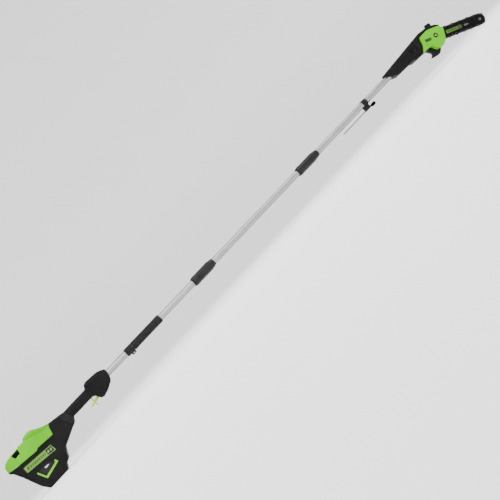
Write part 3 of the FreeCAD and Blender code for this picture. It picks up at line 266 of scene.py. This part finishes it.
# ---------------------------------------------------------------- mesh helpers
def piece(name, mesh, material, body, smooth=True):
    """Put a mesh in the scene as a finished piece that rides on a body."""
    made = bpy.data.objects.new(name, mesh)
    bpy.context.scene.collection.objects.link(made)
    mesh.materials.append(material)
    if smooth:
        for face in mesh.polygons:
            face.use_smooth = True
    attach(made, body)
    return made


def rounded(points, radius, steps=4):
    """Corners of a flat outline, each rounded with short chords."""
    result = []
    count = len(points)
    for i, point in enumerate(points):
        here = Vector(point)
        back = Vector(points[i - 1]) - here
        ahead = Vector(points[(i + 1) % count]) - here
        reach = min(radius, back.length * 0.45, ahead.length * 0.45)
        start, end = here + back.normalized() * reach, here + ahead.normalized() * reach
        for k in range(steps + 1):
            t = k / steps
            result.append(start.lerp(here, t).lerp(here.lerp(end, t), t))
    return result


def slab(name, outline, y, thickness, material, body, holes=(), edge=0.25):
    """Flat piece on a side of the saw: an outline of (station, height) points with a raised, softened face.

    y is where it sits and thickness its height, both positive away from the pole's centre plane."""
    side = math.copysign(1, thickness)
    curve = bpy.data.curves.new(name, "CURVE")
    curve.dimensions = "2D"
    curve.fill_mode = "BOTH"
    for ring in (outline, *holes):
        spline = curve.splines.new("POLY")
        spline.points.add(len(ring) - 1)
        for target, (x, z) in zip(spline.points, ring):
            target.co = (x * MM, z * MM, 0, 1)
        spline.use_cyclic_u = True
    curve.extrude = abs(thickness) * MM / 2 - edge * MM / 2
    curve.bevel_depth = edge * MM / 2
    curve.bevel_resolution = 2
    curve.offset = -edge * MM / 2
    stand = bpy.data.objects.new(name + "_outline", curve)
    bpy.context.scene.collection.objects.link(stand)
    bpy.context.view_layer.update()
    mesh = bpy.data.meshes.new_from_object(stand.evaluated_get(bpy.context.evaluated_depsgraph_get()))
    bpy.data.objects.remove(stand)
    bpy.data.curves.remove(curve)
    upright = Matrix.Rotation(math.radians(90), 4, "X")
    middle = at(0, y + side * abs(thickness) / 2, 0)
    mesh.transform(Matrix.Translation(middle) @ upright)
    mesh.name = name
    return piece(name, mesh, material, body, smooth=False)


def lathe(name, profile, material, body, origin, axis=(1, 0, 0), steps=64):
    """Solid of revolution from (along, radius) points in millimetres about an axis."""
    form = bmesh.new()
    axis = Vector(axis).normalized()
    side = axis.orthogonal().normalized()
    up = axis.cross(side)
    rings = []
    for along, radius in profile:
        centre = Vector(origin) + axis * along * MM
        if radius <= 0:
            rings.append([form.verts.new(centre)])
            continue
        angles = (2 * math.pi * k / steps for k in range(steps))
        rings.append([form.verts.new(centre + (side * math.cos(a) + up * math.sin(a)) * radius * MM)
                      for a in angles])
    for first, second in zip(rings, rings[1:]):
        for k in range(steps):
            corners = [first[k % len(first)], first[(k + 1) % len(first)],
                       second[(k + 1) % len(second)], second[k % len(second)]]
            unique = list(dict.fromkeys(corners))
            if len(unique) > 2:
                form.faces.new(unique)
    bmesh.ops.recalc_face_normals(form, faces=form.faces)
    mesh = bpy.data.meshes.new(name)
    form.to_mesh(mesh)
    form.free()
    return piece(name, mesh, material, body)


# ---------------------------------------------------------------- soft grip
def foam_grip():
    """Foam tube with rolled ends and slightly waisted, uneven sides."""
    low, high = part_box("foam_grip")
    length, radius = (high[0] - low[0]) / MM, (high[2] - low[2]) / MM / 2
    bore = TUBE_R / MM + 0.1
    start = Vector((low[0], AXIS_Y, AXIS_Z))
    profile = [(0.2, bore), (0, bore + 1.4), (0.3, radius - 1.8), (1.2, radius - 0.7), (2.8, radius - 0.15)]
    steps = 40
    for k in range(1, steps):
        share = k / steps
        swell = 0.12 * math.sin(share * 23) - 0.25 * math.sin(math.pi * share)
        profile.append((3 + share * (length - 6), radius + swell - 0.1))
    profile += [(length - 2.4, radius - 0.2), (length - 1, radius - 1.0), (length - 0.1, radius - 2.4),
                (length, bore + 1.2), (length - 0.2, bore), (0.2, bore)]
    grip = lathe("foam_sleeve", profile, FOAM, "power_unit", start, steps=72)
    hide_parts("foam_grip")


# ---------------------------------------------------------------- housing trim
LABEL_AXIS = math.radians(-6.2)
LABEL_CORNER = (51.5, -30.5)         # middle of the strip's rear end
STRIP_BARS = ((9, 9, 6.5), (22, 7, 5), (32, 6, 5), (41, 8, 5), (52, 6, 5), (61, 7, 5), (71, 5, 6.5),
              (79, 7, 5), (89, 5, 5))  # each bar's start along the strip, width and half height
STRIP_LEAN = 1.5                     # how far a bar's ends lean from its middle
STRIP_BLOCKS = (102.5, 114.5)


def on_label(along, across):
    """Station and height of a point on the slanted name strip."""
    return (LABEL_CORNER[0] + along * math.cos(LABEL_AXIS) - across * math.sin(LABEL_AXIS),
            LABEL_CORNER[1] + along * math.sin(LABEL_AXIS) + across * math.cos(LABEL_AXIS))


def label_marks(side, tag):
    """Plain geometric marks on the name strip: slanted bars, then two slanted blocks on a dark panel."""
    face = (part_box("label_plates")[1][1] - AXIS_Y) / MM * side
    for index, (along, wide, half) in enumerate(STRIP_BARS):
        corners = [on_label(along - STRIP_LEAN, -half), on_label(along + wide - STRIP_LEAN, -half),
                   on_label(along + wide + STRIP_LEAN, half), on_label(along + STRIP_LEAN, half)]
        slab(f"strip_bar_{tag}_{index}", rounded(corners, 2.4), face, 0.25 * side, GREEN_INK, "power_unit",
             edge=0.1)
    outer = rounded([on_label(99, -10), on_label(127, -10.4), on_label(127, 10.4), on_label(99, 10)], 2.5)
    slab(f"strip_panel_{tag}", outer, face, 0.3 * side, BLACK_SOFT, "power_unit", edge=0.15)
    for index, along in enumerate(STRIP_BLOCKS):
        inner = rounded([on_label(along - 1, -5.5), on_label(along + 6.5, -5.5), on_label(along + 9, 5.5),
                         on_label(along + 1.5, 5.5)], 2.0)
        slab(f"strip_block_{tag}_{index}", inner, face + 0.3 * side, 0.2 * side, PALE_PRINT, "power_unit",
             edge=0.1)


def status_marker(side, tag):
    """Dark triangular panel inside the green V, with its status lens."""
    face = (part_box("side_trims")[1][1] - AXIS_Y) / MM - 1.5
    panel = rounded([(80, -69), (93.2, -97.5), (146, -85.8), (128, -68)], 3)
    slab(f"status_panel_{tag}", panel, face * side, 0.5 * side, BLACK_GLOSS, "power_unit")
    lens = rounded([(106, -73), (113, -74), (125, -75.5), (125, -77.5), (113, -79), (108, -79.5)], 2)
    slab(f"status_lens_{tag}", lens, (face + 0.5) * side, 0.6 * side, LENS, "power_unit")


# ---------------------------------------------------------------- bar print
def bar_frame():
    """Unit vectors along and across the bar, from the joint that moves it."""
    slide = next(joint for joint in frame["joints"] if joint["name"] == "bar_slide")
    along = -Vector(slide["axis"]).normalized()
    return along, Vector((-along.z, 0, along.x))


def bar_print():
    along, across = bar_frame()
    low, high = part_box("bar_stud")
    origin = Vector(((low[0] + high[0]) / 2, 0, (low[2] + high[2]) / 2))
    bar_low, bar_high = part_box("guide_bar")

    def spot(s, h):
        point = origin + along * s * MM + across * h * MM
        return ((point.x - REAR_END) / MM, (point.z - AXIS_Z) / MM)

    def patch(name, corners, radius, y, thick, material, hole=None, hole_radius=1.0):
        ring = rounded([spot(*corner) for corner in corners], radius)
        rings = (rounded([spot(*corner) for corner in hole][::-1], hole_radius),) if hole else ()
        slab(name, ring, y, thick, material, "bar", holes=rings, edge=0.08)

    for side, tag, face in ((-1, "near", bar_low[1]), (1, "far", bar_high[1])):
        y = (face - AXIS_Y) / MM
        patch(f"bar_outline_{tag}", [(61, -9), (124, -7.5), (124, 7), (61, 6.5)], 2.5, y, 0.15 * side,
              PRINT_GREEN, [(67, -3.6), (116, -3), (116, 2.6), (67, 2.4)], 2)
        patch(f"bar_field_{tag}", [(67.2, -3.4), (115.8, -2.8), (115.8, 2.4), (67.2, 2.2)], 2, y, 0.1 * side,
              PRINT_DEEP)
        patch(f"bar_badge_{tag}", [(120, -9), (143, -8.5), (143, 8.5), (120, 9)], 7, y, 0.25 * side,
              PRINT_OLIVE)
        patch(f"bar_arrow_{tag}", [(154, -5), (166, -5.5), (178, -2.5), (178, 1.5), (166, 4), (154, 4)], 3,
              y, 0.15 * side, PRINT_GREY)
        for index, turn in enumerate((45, 135, 225, 315)):
            centre = Vector(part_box("nose_sprocket")[0]).lerp(Vector(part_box("nose_sprocket")[1]), 0.5)
            reach = 4.2 * MM * (along * math.cos(math.radians(turn)) + across * math.sin(math.radians(turn)))
            spot_at = Vector((centre.x, face, centre.z)) + reach
            lathe(f"nose_rivet_{tag}_{index}", [(0, 1.3), (0.12, 1.2), (0.2, 0.8), (0.22, 0)], STEEL, "bar",
                  spot_at, (0, side, 0), 20)


# ---------------------------------------------------------------- small fastenings
def pan_screw(name, origin, axis, body, radius=2.6):
    """Pan head with a round recess pressed into a dished top."""
    profile = [(0, radius), (0.5, radius), (1.1, radius * 0.82), (1.4, radius * 0.5), (0.9, radius * 0.3),
               (0.6, 0)]
    return lathe(name, profile, DARK_STEEL, body, origin, axis, 32)


SIDE_SCREWS = {                       # station, distance from the centre plane, height, radius
    "head_screw_rear": (2330, -28.4, 2, 3.2), "head_screw_low": (2414, -33.9, -26, 3.2),
    "hook_screw_rear": (2487, -20, -70, 2.8), "hook_screw_front": (2501, -20, -80, 2.8)}


def fastenings():
    for name, (x, y, z, radius) in SIDE_SCREWS.items():
        pan_screw(name, at(x, y, z), (0, -1, 0), "front_section", radius)
    pan_screw("collar_screw", at(626, -17.2, 0), (0, -1, 0), "power_unit")
    pan_screw("clip_screw", at(2080, -15.1, 4), (0, -1, 0), "front_section", 2.2)


WRENCH_NECK_START = (2099, 0, -29.5)
WRENCH_NECK = [(0, 2.0), (0, 3.2), (0.6, 3.8), (3.2, 3.8), (4, 3.2), (5, 3.2), (9.5, 5.2), (9.5, 2.0)]


def wrench_neck():
    """Collared neck where the wrench's shank runs into its socket end."""
    lathe("wrench_neck", WRENCH_NECK, DARK_STEEL, "wrench", at(*WRENCH_NECK_START), steps=32)


# ---------------------------------------------------------------- stage, light and camera
FLOOR_GLOW = 0.45
FLOOR_LEVEL = -0.0004                # just under the saw, so that the two faces don't coincide
FLOOR_CENTRE, FLOOR_RADIUS = 0.6, 6.5  # radii of the flat part's middle and edge
RIM_BEND, RIM_TOP = 1.5, 7.5         # radius of the sweep, height of the wall's top
RIM_STEPS, ROUND_STEPS = 12, 96


def stage():
    """Pale round floor whose rim sweeps up all round, so the saw has the same ground on every side."""
    form = bmesh.new()
    route = [(FLOOR_CENTRE, 0.0), (FLOOR_RADIUS, 0.0)]
    for k in range(1, RIM_STEPS + 1):
        angle = math.radians(90 * k / RIM_STEPS)
        route.append((FLOOR_RADIUS + RIM_BEND * math.sin(angle), RIM_BEND - RIM_BEND * math.cos(angle)))
    route.append((FLOOR_RADIUS + RIM_BEND, RIM_TOP))
    centre = form.verts.new((0, 0, FLOOR_LEVEL))
    rings = []
    for radius, height in route:
        rings.append([form.verts.new((radius * math.cos(math.tau * k / ROUND_STEPS),
                                      radius * math.sin(math.tau * k / ROUND_STEPS), height + FLOOR_LEVEL))
                      for k in range(ROUND_STEPS)])
    for k in range(ROUND_STEPS):
        after = (k + 1) % ROUND_STEPS
        form.faces.new((centre, rings[0][k], rings[0][after]))
        for low, high in zip(rings, rings[1:]):
            form.faces.new((low[k], high[k], high[after], low[after]))
    mesh = bpy.data.meshes.new("floor")
    form.to_mesh(mesh)
    form.free()
    for face in mesh.polygons:
        face.use_smooth = True
    floor = bpy.data.objects.new("floor", mesh)
    bpy.context.scene.collection.objects.link(floor)
    pale = Shader("pale_floor", 0.9, specular=0.1)
    pale.colour(pale.noise(3, 2), (0.93, 0.93, 0.93), (0.95, 0.95, 0.95))
    pale.shader.inputs["Emission Color"].default_value = (1, 1, 1, 1)
    pale.shader.inputs["Emission Strength"].default_value = FLOOR_GLOW
    mesh.materials.append(pale.material)


WORLD_LIGHT = 0.34
LIT_SPOT = (0, 0, 0.1)
AREA_LIGHTS = {                       # place, width and height in metres, watts
    "overhead": ((0.1, -0.8, 2.6), (4.0, 1.0), 150),
    "front": ((-0.8, -3.4, 1.6), (3.0, 1.0), 60)}


def area_light(name, place, size, power):
    data = bpy.data.lights.new(name, "AREA")
    data.shape = "RECTANGLE"
    data.size, data.size_y = size
    data.energy = power
    lamp = bpy.data.objects.new(name, data)
    lamp.location = place
    lamp.rotation_euler = (Vector(LIT_SPOT) - Vector(place)).to_track_quat("-Z", "Y").to_euler()
    bpy.context.scene.collection.objects.link(lamp)


def lights():
    world = bpy.data.worlds.new("studio")
    world.use_nodes = True
    world.node_tree.nodes["Background"].inputs["Color"].default_value = (1, 1, 1, 1)
    world.node_tree.nodes["Background"].inputs["Strength"].default_value = WORLD_LIGHT
    bpy.context.scene.world = world
    for name, (place, size, power) in AREA_LIGHTS.items():
        area_light(name, place, size, power)


CAMERA_YAW = math.radians(13)
CAMERA_ROLL = math.radians(46.76)
CAMERA_DISTANCE = 3.5
CAMERA_LENS = 61.4
CAMERA_TARGET = (1266.6, 0, -76)


def camera():
    """Camera that looks square at the pole's side, turned 13 degrees to see its rear end nearer."""
    data = bpy.data.cameras.new("camera")
    data.lens, data.sensor_width = CAMERA_LENS, 36.0
    data.clip_end = 60
    target = at(*CAMERA_TARGET)
    toward = Vector((math.sin(CAMERA_YAW), math.cos(CAMERA_YAW), 0))
    level = Vector((math.cos(CAMERA_YAW), -math.sin(CAMERA_YAW), 0))
    upright = Vector((0, 0, 1))
    right = level * math.cos(CAMERA_ROLL) - upright * math.sin(CAMERA_ROLL)
    up = level * math.sin(CAMERA_ROLL) + upright * math.cos(CAMERA_ROLL)
    eye = bpy.data.objects.new("camera", data)
    turn = Matrix((right, up, -toward)).transposed().to_4x4()
    eye.matrix_world = Matrix.Translation(target - toward * CAMERA_DISTANCE) @ turn
    bpy.context.scene.collection.objects.link(eye)
    bpy.context.scene.camera = eye


finish_nodes()
foam_grip()
for side, tag in ((-1, "left"), (1, "right")):
    label_marks(side, tag)
    status_marker(side, tag)
bar_print()
fastenings()
wrench_neck()
stage()
lights()
camera()
